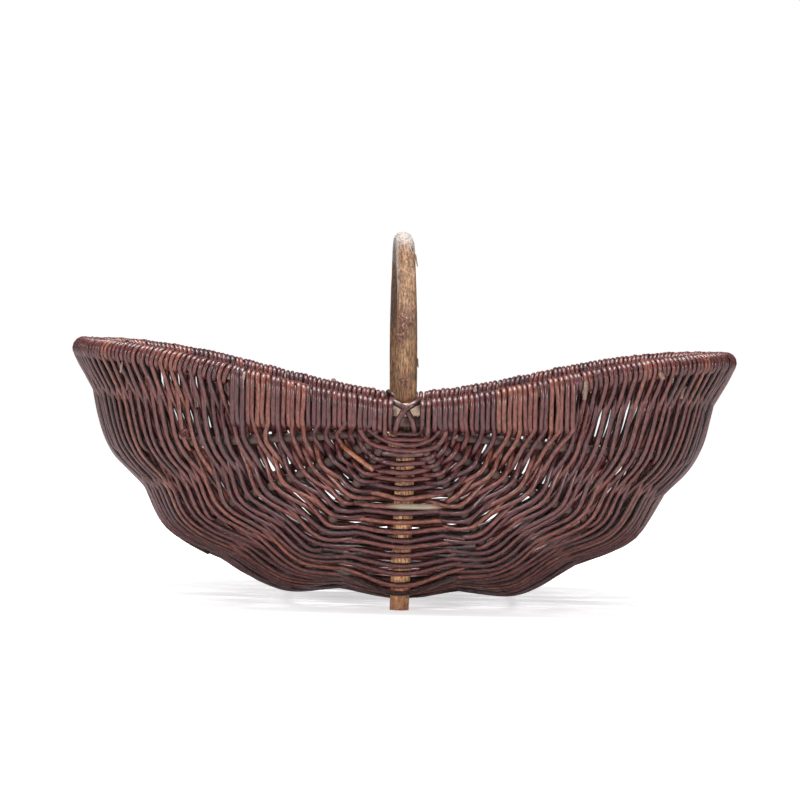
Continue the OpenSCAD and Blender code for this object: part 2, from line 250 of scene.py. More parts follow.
def along(line, share):
    """The direction of a stake, from the crossing to the middle."""
    step = 0.004
    return unit(line.spot(np.clip(share + step, 0, 1)) - line.spot(np.clip(share - step, 0, 1)))


def stake_station(j, number, share):
    """A rod passes over a stake where strand and stake add up to an even number, or else under it."""
    stake = ORDER[j]
    line = STAKES[stake]
    over = 1.0 if (number + j) % 2 == 0 else -1.0
    room = float(line.thick(share)) + ROD_R
    if stake in (1, 2, 3):
        room = room * float(np.interp(number, [0, 6], [0.5, 1.0]))
    out = line.out(share)
    if stake == 4:
        level = float(np.clip((0.57 - share) / 0.12, 0, 1))
        out = unit(out * (1 - level) + np.array([0, -1.0, 0]) * level)
    point = line.spot(share) + out * over * room
    return turned(point, j), turned(along(line, share), j)


def middle_station(before, after, rng, push=0.0):
    """Half way between two stakes a rod strays a little to the side and in or out."""
    span = after[0] - before[0]
    side = unit(before[1] + after[1])
    out = unit(np.cross(side, span))
    reach = min(1.0, np.linalg.norm(span) / 60)
    stray = rng.normal(0, 0.55) * side * reach + rng.normal(0, 0.40) * out * reach
    middle = (before[0] + after[0]) / 2
    out = out * np.sign(((middle - np.array([0, 0, 150.0])) * out).sum())
    return middle + stray + out * push, side


def wrap_points(j, start, end, share_a, share_b):
    """Turns round the rim, or round rim and bar: the angle is 0 outside, 90 on top and 180 inside."""
    rim = STAKES[0]
    count = max(int(abs(end - start) / 24), 2)
    angle = np.radians(np.linspace(start, end, count + 1))
    share = np.linspace(share_a, share_b, count + 1)
    centre = rim.spot(share)
    out = rim.out(share)
    way = along(rim, share)
    up = unit(np.cross(way, out))
    up = up * np.sign(up[:, 2:3])
    with_bar = np.clip((BAR_SHARE - share) / 0.02 + 0.5, 0, 1)[:, None]
    up = unit(up * (1 - with_bar) + np.array([0, 0, 1.0]) * with_bar)
    turn = np.cos(angle)[:, None] * out + np.sin(angle)[:, None] * up
    above = centre + (RIM_D / 2 + ROD_R) * turn
    bar = centre.copy()
    bar[:, 2] = BAR_HEIGHT
    below = bar + (BAR_D / 2 + ROD_R) * turn
    low = (np.sin(angle)[:, None] < 0) & (share[:, None] < BAR_SHARE)
    points = np.where(low, below, above)
    return turned(points, j), turned(way, j)


def rim_turn(j, number):
    """From one strand to the next round the rim. Beside the bar a rod over rib 1 comes from outside."""
    near = 1 if j == 0 else 7
    here = strand_share(0, j, number)
    then = strand_share(0, j, number + 1)
    over_now = (number + near) % 2 == 0
    over_next = not over_now
    outside_now = over_now == (here < BAR_SHARE)
    outside_next = over_next == (then < BAR_SHARE)
    extra = spare_turns(j, number)
    pitch = (then - here) / extra
    if outside_now:
        start = -25
        end = (205 if not outside_next else 290) + 360 * extra
        share_b = here + pitch * (end / 360)
    else:
        start = 205
        end = (-25 if outside_next else -110) - 360 * extra
        share_b = here + pitch * ((205 - end) / 360)
    return wrap_points(j, start, end, here, min(share_b, 1.0))


def stake_run(order, numbers, rng):
    """A rod's stations at several stakes, with a middle station between each two."""
    stations = []
    for j, number in zip(order, numbers):
        stake = ORDER[j]
        pitch = strand_share(stake, j, number + 1) - strand_share(stake, j, number)
        share = strand_share(stake, j, number) + rng.normal(0, 0.20) * pitch
        if stations:
            here = stake_station(j, number, share)
            push = (7.5 if j < 5 else 4.5) * share ** 2 if {stake, last_stake} == {2, 3} else 0.6
            push = 3.0 * share if {stake, last_stake} == {1, 2} and j > 4 else push
            stations.append(middle_station(stations[-1], here, rng, push))
            stations.append(here)
        else:
            stations.append(stake_station(j, number, share))
        last_stake = stake
    return stations


def turn_back(j, last_j, number, rng):
    """A short turn: down to a stake, half round it, and back up to the rim."""
    step = 1 if j == 0 else -1
    order = list(range(j + step, last_j + step, step))
    down = stake_run(order, [n for n in number], rng)
    up = stake_run(order[::-1], [n + 1 for n in number[::-1]], rng)
    stake = ORDER[last_j]
    line = STAKES[stake]
    share = (strand_share(stake, last_j, number[-1]) + strand_share(stake, last_j, number[-1] + 1)) / 2
    way = turned(along(line, share), last_j)
    before = down[-2][0] if len(down) > 1 else turned(STAKES[0].spot(share), j)
    past = down[-1][0] - before
    past = unit(past - (past * way).sum() * way)
    out = turned(line.out(share), last_j)
    past = unit(past - (past * out).sum() * out)
    bend = turned(line.spot(share), last_j) + past * (float(line.thick(share)) + ROD_R)
    return down + [(bend, way)] + up


def half_weave(seed):
    """The whole line of the weaving rods of one half, from the crossing to the ends of the rim."""
    rng = np.random.default_rng(seed)
    points = []
    sides = []

    def put(stations):
        for p, s in stations:
            points.append(np.atleast_2d(p))
            sides.append(np.atleast_2d(s))

    for course in range(COURSES):
        forward = course % 2 == 0
        order = list(range(1, 8)) if forward else list(range(7, 0, -1))
        put(stake_run(order, [strand_number(ORDER[j], j, course) for j in order], rng))
        j = 8 if forward else 0
        number = strand_number(0, j, course)
        put([rim_turn(j, number)])
        last = turn_at(j, course)
        if last:
            last_j = last if j == 0 else 8 - last
            step = 1 if j == 0 else -1
            numbers = [strand_number(ORDER[k], k, course) + 1 for k in range(j + step, last_j + step, step)]
            put(turn_back(j, last_j, numbers, rng))
            put([rim_turn(j, number + 2)])
    return np.concatenate(points), np.concatenate(sides)


def smooth(points, sides, step):
    """A centripetal Catmull-Rom curve through the points, with points about a step apart."""
    first = 2 * points[0] - points[1]
    last = 2 * points[-1] - points[-2]
    p = np.concatenate([[first], points, [last]])
    gaps = np.maximum(np.linalg.norm(np.diff(p, axis=0), axis=1), 1e-4) ** 0.5
    span = np.linalg.norm(np.diff(points, axis=0), axis=1)
    counts = np.maximum(np.ceil(span / step).astype(int), 1)
    index = np.repeat(np.arange(len(span)), counts)
    offset = np.arange(counts.sum()) - np.repeat(np.cumsum(counts) - counts, counts)
    f = offset / counts[index]
    t0 = np.zeros(len(index))
    t1 = gaps[index]
    t2 = t1 + gaps[index + 1]
    t3 = t2 + gaps[index + 2]
    t = t1 + f * (t2 - t1)
    a, b, c, d = (p[index + k] for k in range(4))

    def mix(u, v, ta, tb):
        w = ((t - ta) / (tb - ta))[:, None]
        return u * (1 - w) + v * w

    ab = mix(a, b, t0, t1)
    bc = mix(b, c, t1, t2)
    cd = mix(c, d, t2, t3)
    curve = mix(mix(ab, bc, t0, t2), mix(bc, cd, t1, t3), t1, t2)
    side = unit(sides[index] * (1 - f)[:, None] + sides[index + 1] * f[:, None])
    return np.concatenate([curve, points[-1:]]), np.concatenate([side, sides[-1:]])


# The camera stands 2.6 m in front of the basket, a little above the rim, and is rolled by 1.4 degrees
def set_camera():
    pitch = np.arctan((803 / 2 - 326.7) / 2880)
    roll = 0.024
    right = np.array([1.0, 0, 0])
    up = np.array([0, np.sin(pitch), np.cos(pitch)])
    back = np.array([0, -np.cos(pitch), np.sin(pitch)])
    x_axis = right * np.cos(roll) + up * np.sin(roll)
    y_axis = up * np.cos(roll) - right * np.sin(roll)
    data = bpy.data.cameras.new("camera")
    data.sensor_fit = "VERTICAL"
    data.sensor_height = 36
    data.lens = 2880 * 36 / 803
    camera = bpy.data.objects.new("camera", data)
    bpy.context.scene.collection.objects.link(camera)
    place = np.eye(4)
    place[:3, 0] = x_axis
    place[:3, 1] = y_axis
    place[:3, 2] = back
    place[:3, 3] = (-0.0033, -2.6, 0.246)
    camera.matrix_world = Matrix(place.tolist())
    bpy.context.scene.camera = camera


class Value:
    """A number in a material. It wraps a socket, and the signs of Python add the Math nodes."""

    def __init__(self, finish, socket):
        self.finish = finish
        self.socket = socket

    def _maths(self, operation, one, two):
        return self.finish.add("ShaderNodeMath", {"operation": operation}, {0: one, 1: two})

    def __add__(self, other):
        return self._maths("ADD", self, other)

    def __radd__(self, other):
        return self._maths("ADD", other, self)

    def __sub__(self, other):
        return self._maths("SUBTRACT", self, other)

    def __rsub__(self, other):
        return self._maths("SUBTRACT", other, self)

    def __mul__(self, other):
        return self._maths("MULTIPLY", self, other)

    def __rmul__(self, other):
        return self._maths("MULTIPLY", other, self)

    def power(self, other):
        return self._maths("POWER", self, other)


class Finish:
    """A material in the making: add() makes any node, and the other methods are short names for common ones."""

    def __init__(self, name):
        self.material = bpy.data.materials.new(name)
        self.material.use_nodes = True
        self.nodes = self.material.node_tree.nodes
        self.links = self.material.node_tree.links
        self.shader = self.nodes["Principled BSDF"]

    def put(self, socket, value):
        if isinstance(value, Value):
            self.links.new(value.socket, socket)
        else:
            socket.default_value = value

    def add(self, kind, settings=None, inputs=None, out=0):
        node = self.nodes.new(kind)
        for key, value in (settings or {}).items():
            if key == "stops":
                ramp = node.color_ramp
                while len(ramp.elements) < len(value):
                    ramp.elements.new(0.5)
                for element, (place, colour) in zip(ramp.elements, value):
                    element.position = place
                    element.color = (*colour, 1)
            else:
                setattr(node, key, value)
        for key, value in (inputs or {}).items():
            self.put(node.inputs[key], value)
        return Value(self, node.outputs[out])

    def attribute(self, name, out="Fac"):
        return self.add("ShaderNodeAttribute", {"attribute_name": name}, out=out)

    def scaled(self, vector, x, y, z):
        return self.add("ShaderNodeVectorMath", {"operation": "MULTIPLY"}, {0: vector, 1: (x, y, z)})

    def noise(self, vector, scale, detail=3.0, roughness=0.55):
        return self.add("ShaderNodeTexNoise", {},
                        {"Vector": vector, "Scale": scale, "Detail": detail, "Roughness": roughness})

    def step(self, value, low, high):
        return self.add("ShaderNodeMapRange", {"interpolation_type": "SMOOTHSTEP"},
                        {"Value": value, "From Min": low, "From Max": high})

    def ramp(self, value, stops):
        return self.add("ShaderNodeValToRGB", {"stops": stops}, {"Fac": value})

    def blend(self, mask, one, two, way="MIX"):
        node = self.nodes.new("ShaderNodeMix")
        node.data_type = "RGBA"
        node.blend_type = way
        self.put(node.inputs[0], mask)
        self.put(node.inputs[6], one if isinstance(one, Value) else (*one, 1))
        self.put(node.inputs[7], two if isinstance(two, Value) else (*two, 1))
        return Value(self, node.outputs[2])

    def shade(self, colour, value):
        """A colour made darker or lighter by a number."""
        return self.add("ShaderNodeVectorMath", {"operation": "SCALE"}, {0: colour, "Scale": value})

    def bump(self, height, distance, strength=1.0):
        return self.add("ShaderNodeBump", {}, {"Height": height, "Distance": distance, "Strength": strength})

    def done(self, colour, roughness, normal=None, **constant):
        self.put(self.shader.inputs["Base Color"], colour)
        self.put(self.shader.inputs["Roughness"], roughness)
        if normal:
            self.put(self.shader.inputs["Normal"], normal)
        for name, value in constant.items():
            self.shader.inputs[name.replace("_", " ")].default_value = value
        return self.material


def rod_bark():
    """Unpeeled willow: fine lines along the rod, patches, pale pores, and a cut face at the ends. The sides of each
    rod, where it meets its neighbours, are painted darker as shade and get less coat.
    """
    f = Finish("willow_bark")
    grain = f.attribute("grain", "Vector")
    tone = f.attribute("tone")
    straw = f.attribute("straw")
    cut = f.attribute("cut")
    lines = f.noise(f.scaled(grain, 1, 1, 0.05), 1300, 3, 0.6)
    wrinkles = f.noise(f.scaled(grain, 1, 1, 0.5), 430, 3, 0.65)
    patches = f.noise(f.scaled(grain, 1, 1, 0.35), 110, 3, 0.6)
    long_patches = f.noise(f.scaled(grain, 0.5, 0.5, 0.12), 90, 2, 0.5)
    pores = f.add("ShaderNodeTexVoronoi", {"feature": "F1"},
                  {"Vector": f.scaled(grain, 1, 1, 0.55), "Scale": 420.0, "Randomness": 1.0}, out="Distance")
    pore = (1 - f.step(pores, 0.10, 0.2)) * f.step(patches, 0.48, 0.6)
    across = f.add("ShaderNodeSeparateXYZ", {}, {"Vector": grain}, out="X")
    # Painted shade: a mask that rises towards the sides of each rod, where it meets its neighbours
    painted_crease_shade = f.step(f.add("ShaderNodeMath", {"operation": "ABSOLUTE"}, {0: across}), 0.0013, 0.0022)
    bark = f.ramp(tone * 0.8 + long_patches * 0.42 - 0.1, [
        (0.0, (0.055, 0.016, 0.021)),
        (0.3, (0.090, 0.024, 0.027)),
        (0.55, (0.125, 0.033, 0.031)),
        (0.78, (0.165, 0.044, 0.035)),
        (0.92, (0.215, 0.066, 0.042)),
        (1.0, (0.340, 0.120, 0.060)),
    ])
    bark = f.shade(bark, 0.42 * f.step(lines, 0.30, 0.70) + 0.50 * patches + 1.18 * f.step(wrinkles, 0.28, 0.72))
    # Painted shade: the colour is made darker towards the sides of each rod
    bark = f.shade(bark, 1.13 - 1.02 * painted_crease_shade)
    bark = f.blend(pore * 0.6, bark, (0.36, 0.25, 0.19))
    bark = f.blend(straw, bark, (0.47, 0.385, 0.28))
    bark = f.blend(cut, bark, (0.235, 0.145, 0.105))
    rough = 0.18 + 0.20 * patches + 0.14 * wrinkles + 0.2 * cut
    normal = f.bump(lines * 0.6 + patches * 0.9 + wrinkles * 1.3 + pore * 0.8, 0.0011)
    f.put(f.shader.inputs["Coat Weight"], 0.62 - 0.52 * painted_crease_shade)
    return f.done(bark, rough, normal, Coat_Roughness=0.2)


def rib_bark():
    """The ribs' greyer, duller bark."""
    f = Finish("rib_bark")
    grain = f.attribute("grain", "Vector")
    cut = f.attribute("cut")
    lines = f.noise(f.scaled(grain, 1, 1, 0.06), 900, 3, 0.6)
    patches = f.noise(f.scaled(grain, 1, 1, 0.3), 80, 3, 0.6)
    bark = f.ramp(patches, [(0.25, (0.065, 0.036, 0.036)), (0.5, (0.12, 0.066, 0.057)), (0.75, (0.21, 0.12, 0.095))])
    bark = f.shade(bark, 0.7 + 0.6 * lines)
    bark = f.blend(cut, bark, (0.24, 0.15, 0.10))
    return f.done(bark, 0.6 + 0.15 * patches, f.bump(lines + patches * 0.6, 0.0004))


def peeled_rod():
    """The pale wood of the rim, with fine grain along it. The bar is the same pale wood, but is drawn in the ribs'
    darker bark as painted shade under the rim.
    """
    f = Finish("peeled_willow")
    grain = f.attribute("grain", "Vector")
    lines = f.noise(f.scaled(grain, 1, 1, 0.04), 1000, 4, 0.6)
    patches = f.noise(f.scaled(grain, 1, 1, 0.4), 70, 3, 0.6)
    wood = f.ramp(lines * 0.6 + patches * 0.4, [
        (0.3, (0.50, 0.32, 0.20)), (0.5, (0.80, 0.57, 0.40)), (0.72, (0.90, 0.71, 0.53))])
    return f.done(wood, 0.55 + 0.15 * lines, f.bump(lines, 0.0003))


def stick_bark():
    """The handle's golden brown bark: long fibres, reddish and grey patches, knots and pale cut ends. The leg below
    the rim and the foot are drawn lighter as painted light, and the arch's top and a strip down the left of the near
    leg are painted pale as highlight. The back half is drawn a little lighter, and the far leg's top greyer and
    darker.
    """
    f = Finish("stick_bark")
    grain = f.attribute("grain", "Vector")
    knot = f.attribute("knot")
    cut = f.attribute("cut")
    fibres = f.noise(f.scaled(grain, 1, 1, 0.055), 750, 4, 0.65)
    coarse = f.noise(f.scaled(grain, 1, 1, 0.10), 330, 3, 0.6)
    patches = f.noise(f.scaled(grain, 1, 1, 0.3), 70, 3, 0.6)
    flecks = f.noise(f.scaled(grain, 1, 1, 0.28), 560, 3, 0.7)
    specks = f.noise(f.scaled(grain, 1, 1, 0.5), 800, 2, 0.5)
    bark = f.ramp(patches * 0.65 + coarse * 0.35, [
        (0.28, (0.115, 0.050, 0.028)),
        (0.40, (0.205, 0.098, 0.048)),
        (0.55, (0.260, 0.145, 0.075)),
        (0.70, (0.350, 0.215, 0.130)),
    ])
    bark = f.shade(bark, 0.55 * f.step(fibres, 0.3, 0.7) + 0.35 * coarse + 1.35 * f.step(flecks, 0.32, 0.68))
    spot = f.add("ShaderNodeTexCoord", {}, out="Object")
    height = f.add("ShaderNodeSeparateXYZ", {}, {"Vector": spot}, out="Z")
    depth = f.add("ShaderNodeSeparateXYZ", {}, {"Vector": spot}, out="Y")
    # Painted light: the leg below the rim is drawn about 2.8 times lighter where the weave shades it, and the foot
    # 1.65 times lighter; the back half of the stick is drawn a further 14 % lighter
    low = 1 - f.step(height, 0.138, 0.152)
    above_foot = f.step(height, 0.02, 0.035)
    bark = f.shade(bark, 1 + low * (0.65 + 1.15 * above_foot) + 0.14 * f.step(depth, 0.02, 0.06))
    bark = f.blend((1 - above_foot) * 0.5, bark, (0.56, 0.215, 0.105))
    bark = f.blend(f.step(depth, 0.05, 0.10) * f.step(height, 0.235, 0.255) * 0.6, bark, (0.13, 0.09, 0.085))
    dark = f.step(specks, 0.57, 0.66) * 0.75
    bark = f.blend(dark, bark, (0.10, 0.052, 0.032))
    scar = f.ramp(specks, [
        (0.40, (0.050, 0.018, 0.015)), (0.50, (0.175, 0.066, 0.040)), (0.60, (0.24, 0.105, 0.065)),
        (0.70, (0.50, 0.36, 0.28))])
    bark = f.blend(knot, bark, scar)
    rings = f.noise(grain, 260, 2, 0.5)
    face = f.ramp(rings, [(0.35, (0.42, 0.27, 0.15)), (0.65, (0.62, 0.45, 0.29))])
    bark = f.blend(cut, bark, face)
    # Painted highlight: the bark turns near-white where the straw attribute is high, which on the stick marks its
    # painted highlight
    painted_highlight = f.step(f.attribute("straw") + 0.9 * patches + 1.0 * flecks, 1.15, 1.75)
    pale = f.ramp(specks, [(0.36, (0.20, 0.165, 0.145)), (0.47, (0.54, 0.49, 0.45)), (0.60, (0.61, 0.56, 0.52))])
    bark = f.blend(painted_highlight * 0.85, bark, pale)
    normal = f.bump(fibres * 0.5 + coarse * 0.6 + flecks * 1.2 + patches * 0.3, 0.0014)
    return f.done(bark, 0.62 + 0.2 * fibres, normal)


def floor_finish():
    """A white floor that keeps the shadow: what the camera sees is lifted towards white, most of all far away."""
    f = Finish("white_floor")
    spot = f.add("ShaderNodeTexCoord", {}, out="Object")
    far = f.add("ShaderNodeVectorMath", {"operation": "LENGTH"}, {0: spot}, out="Value")
    glow = f.ramp(f.step(far, 0.09, 0.34), [(0.0, (0.60, 0.59, 0.595)), (1.0, (0.95, 0.95, 0.95))])
    self_lit = f.add("ShaderNodeEmission", {}, {"Color": glow, "Strength": 1.0})
    path = f.nodes.new("ShaderNodeLightPath")
    seen = Value(f, path.outputs["Is Camera Ray"])
    f.shader.inputs["Base Color"].default_value = (0.80, 0.80, 0.80, 1)
    f.shader.inputs["Roughness"].default_value = 0.9
    f.shader.inputs["Specular IOR Level"].default_value = 0.0
    plain = Value(f, f.shader.outputs[0])
    lifted = f.add("ShaderNodeAddShader", {}, {0: plain, 1: self_lit})
    mixed = f.add("ShaderNodeMixShader", {}, {0: seen, 1: plain, 2: lifted})
    f.links.new(mixed.socket, f.nodes["Material Output"].inputs["Surface"])
    return f.material


def ring_faces(rings, sides):
    """Four-sided faces between neighbouring rings of the same number of points."""
    i = np.arange(rings - 1)[:, None] * sides
    j = np.arange(sides)[None, :]
    k = (j + 1) % sides
    faces = np.stack([i + j, i + k, i + k + sides, i + j + sides], -1)
    return faces.reshape(-1, 4)


class Bundle:
    """Rods gathered into one mesh, with what the bark reads: grain, tone, straw, knot and cut. On the handle stick the
    straw attribute carries its painted highlight.
    """

    def __init__(self):
        self.points = []
        self.faces = []
        self.caps = []
        self.values = {"grain": [], "tone": [], "straw": [], "knot": [], "cut": []}
        self.count = 0

    def rod(self, path, side, radii, sides=8, tone=0.5, straw=None, flat=None, closed=False, start=0.0):
        """A rod carried along a path. Each ring is centre + r * (cos(a) * u + sin(a) * v),
        with u = side made square to the path, and v square to both. The ends are closed by cut faces."""
        path = np.asarray(path, float)
        rings = len(path)
        if closed:
            way = unit(np.roll(path, -1, 0) - np.roll(path, 1, 0))
        else:
            way = unit(np.gradient(path, axis=0))
        side = np.broadcast_to(np.asarray(side, float), path.shape)
        u = unit(side - (side * way).sum(1, keepdims=True) * way)
        v = np.cross(way, u)
        a = np.linspace(0, 2 * np.pi, sides, endpoint=False)
        if np.ndim(radii) < 2:
            radii = np.broadcast_to(np.asarray(radii, float), (rings,))[:, None] * np.ones(sides)
        offset = np.cos(a)[None, :, None] * u[:, None, :] + np.sin(a)[None, :, None] * v[:, None, :]
        points = path[:, None, :] + radii[:, :, None] * offset
        if flat is not None:
            for ring in (0, -1):
                drop = points[ring, :, 2] / way[ring, 2]
                points[ring] = points[ring] - drop[:, None] * way[ring]
        run = np.concatenate([[0], np.cumsum(np.linalg.norm(np.diff(path, axis=0), axis=1))]) + start
        grain = np.stack([np.cos(a)[None, :] * radii, np.sin(a)[None, :] * radii,
                          np.repeat(run[:, None], sides, 1)], -1) * MM
        faces = ring_faces(rings, sides) + self.count
        if closed:
            j = np.arange(sides)
            k = (j + 1) % sides
            last = (rings - 1) * sides
            faces = np.concatenate([faces, np.stack([last + j, last + k, k, j], -1) + self.count])
        self.points.append(points.reshape(-1, 3))
        self.faces.append(faces)
        total = rings * sides
        straw = np.zeros(rings) if straw is None else straw
        self._keep(grain.reshape(-1, 3), tone, np.repeat(straw, sides), 0.0, np.zeros(total))
        first = self.count
        self.count += total
        if not closed:
            self._cap(points[0], grain[0], tone, first, True, sides)
            self._cap(points[-1], grain[-1], tone, first + total - sides, False, sides)
        return first

    def _keep(self, grain, tone, straw, knot, cut):
        total = len(grain)
        self.values["grain"].append(grain)
        self.values["tone"].append(np.full(total, float(tone)) if np.ndim(tone) == 0 else tone)
        self.values["straw"].append(np.broadcast_to(straw, (total,)))
        self.values["knot"].append(np.broadcast_to(knot, (total,)))
        self.values["cut"].append(np.broadcast_to(cut, (total,)))

    def _cap(self, ring, grain, tone, edge, reverse, sides):
        """A cut face: the last ring again, a hair smaller, closed by one flat face."""
        centre = ring.mean(0)
        inner = centre + (ring - centre) * 0.9
        self.points.append(inner)
        self._keep(grain, float(np.mean(tone)), 0.0, 0.0, 1.0)
        j = np.arange(sides)
        k = (j + 1) % sides
        new = self.count
        quads = np.stack([edge + j, new + j, new + k, edge + k], -1)
        if reverse:
            quads = quads[:, ::-1]
        self.faces.append(quads[:, ::-1])
        loop = list(range(new, new + sides))
        self.caps.append(loop[::-1] if reverse else loop)
        self.count += sides

    def build(self, name, material, slot, nodes):
        points = np.concatenate(self.points) * MM
        faces = [list(map(int, face)) for face in np.concatenate(self.faces)]
        mesh = bpy.data.meshes.new(name)
        mesh.from_pydata(points.tolist(), [], faces + self.caps)
        mesh.polygons.foreach_set("use_smooth", np.r_[np.ones(len(faces), bool), np.zeros(len(self.caps), bool)])
        for key, parts in self.values.items():
            data = np.concatenate(parts).astype(np.float32)
            kind = "FLOAT_VECTOR" if key == "grain" else "FLOAT"
            layer = mesh.attributes.new(key, kind, "POINT")
            layer.data.foreach_set("vector" if key == "grain" else "value", data.ravel())
        mesh.materials.append(material)
        mesh.validate()
        mesh.update()
        piece = bpy.data.objects.new(name, mesh)
        bpy.context.scene.collection.objects.link(piece)
        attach(piece, "root")
        if nodes:
            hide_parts(*nodes)
        return piece


def mirror_y(points):
    return points * np.array([1.0, -1.0, 1.0])


def wobble(count, seed, amount, step):
    """A slow random wave along a rod: random values every few rings, joined by a smooth curve."""
    rng = np.random.default_rng(seed)
    knots = rng.normal(0, amount, int(count / step) + 4)
    t = np.arange(count) / step + 1
    i = t.astype(int)
    f = t - i
    f = f * f * (3 - 2 * f)
    return knots[i] * (1 - f) + knots[i + 1] * f


# Rods of 1.1 to 1.5 m, thick at the butt and thin at the tip, each starting beside the end of the last
def lay_rods(bundles, seed, back):
    rng = np.random.default_rng(seed)
    points, sides = half_weave(seed)
    path, side = smooth(points, sides, 4.2)
    if back:
        path = mirror_y(path)
        side = mirror_y(side)
    run = np.concatenate([[0], np.cumsum(np.linalg.norm(np.diff(path, axis=0), axis=1))])
    total = run[-1]
    starts = [0.0]
    while starts[-1] < total - 1750:
        starts.append(starts[-1] + rng.uniform(1050, 1450))
    starts.append(total)
    middle = np.array([0, 0, 120.0])
    before_leg = (np.abs(path[:, 0] - 16) < 4) & (np.abs(path[:, 1]) > 100)
    straw_run = run[np.argmin(np.abs(path[:, 2] - 91.5) + 1000 * ~before_leg)] if not back else -1000.0
    for n in range(len(starts) - 1):
        a = np.searchsorted(run, max(starts[n] - 35, 0))
        b = np.searchsorted(run, min(starts[n + 1] + 12, total))
        piece = path[a:b].copy()
        here = side[a:b]
        s = run[a:b] - run[a]
        way = unit(np.gradient(piece, axis=0))
        out = unit(np.cross(here, way))
        outward = np.sign(((piece - middle) * out).sum(1))[:, None] * out
        length = s[-1]
        lift = np.clip(1 - s / 38, 0, 1) ** 1.5 * rng.uniform(3.0, 5.5) * (-1 if rng.random() < 0.85 else 0.4)
        drop = np.clip(1 - (length - s) / 38, 0, 1) ** 1.5 * rng.uniform(2.5, 5) * (-1 if rng.random() < 0.85 else 0.4)
        fade = np.clip(np.abs(piece[:, 0]) / 40, 0, 1) * 0.7 + 0.3
        stray = wobble(len(s), seed * 300 + n, 0.42, 5) * fade
        piece = piece + outward * (lift + drop + wobble(len(s), seed * 200 + n, 0.25, 4))[:, None]
        piece = piece + here * stray[:, None]
        butt = rng.uniform(2.3, 2.8)
        tip = rng.uniform(1.8, 2.25)
        reverse = rng.random() < 0.5
        share = s / length
        radius = butt + (tip - butt) * (1 - share if reverse else share)
        radius = radius + wobble(len(s), seed * 100 + n, 0.05, 9) + 0.3 * np.exp(-(piece[:, 0] / 60) ** 4)
        tone = float(np.clip(rng.normal(0.45, 0.22), 0, 1))
        if rng.random() < 0.08:
            tone = 0.95
        straw = np.clip(1.5 - np.abs(s + run[a] - straw_run) / 18, 0, 0.8)
        bundles[min(n * len(bundles) // (len(starts) - 1), len(bundles) - 1)].rod(
            piece, here, radius, 8, tone, straw, start=rng.uniform(0, 3000))


def loop_path(points, side, step=1.6, closed=True):
    points = np.array(points, float)
    if closed:
        wide = np.concatenate([points[-2:], points, points[:2]])
        curve, sides = smooth(wide, np.broadcast_to(np.array(side, float), wide.shape), step)
        a = np.argmin(np.linalg.norm(curve - points[0], axis=1))
        b = a + 1 + np.argmin(np.linalg.norm(curve[a + 8:] - points[0], axis=1)) + 7
        return curve[a:b], sides[a:b]
    return smooth(points, np.broadcast_to(np.array(side, float), points.shape), step)


def lashing(bundle, back, seed):
    """Two slanting loops round rim, bar and leg: x = -side * w * rise, z = middle + h * rise,
    with rise = the root of sin(a) and depth = the root of cos(a), each with its sign."""
    rng = np.random.default_rng(seed)
    shift = CROSSING_X[back]
    strand = 2.6
    lash_z = (RIM_HEIGHT + BAR_HEIGHT) / 2 + 0.4
    high = (RIM_HEIGHT - BAR_HEIGHT) / 2 + RIM_D / 2 + strand - 0.1
    near = -RIM_B - RIM_D / 2 - strand
    far = -ARCH_R + HANDLE_D / 2 + strand + 0.3
    a = np.radians(np.arange(0, 360, 12.0))
    for way, over in ((1, 0.0), (-1, 2 * strand - 0.6)):
        rise = np.sign(np.sin(a)) * np.abs(np.sin(a)) ** 0.6
        deep = np.sign(np.cos(a)) * np.abs(np.cos(a)) ** 0.5
        y = (near + far) / 2 + ((far - near) / 2 + over * (deep < 0)) * deep
        x = shift - way * np.interp(rise, [-1, -0.3, 0.45, 1], [-8.5, -6.0, 0.0, 11.3])
        points = np.stack([x, y, lash_z + high * rise * np.where(rise < 0, 1.12, 1)], -1)
        path, side = loop_path(points, (1, 0, 0))
        if back:
            path = mirror_y(path)
        bundle.rod(path, side, strand + wobble(len(path), seed, 0.08, 6), 12, rng.uniform(0.3, 0.6),
                   closed=True, start=rng.uniform(0, 900))


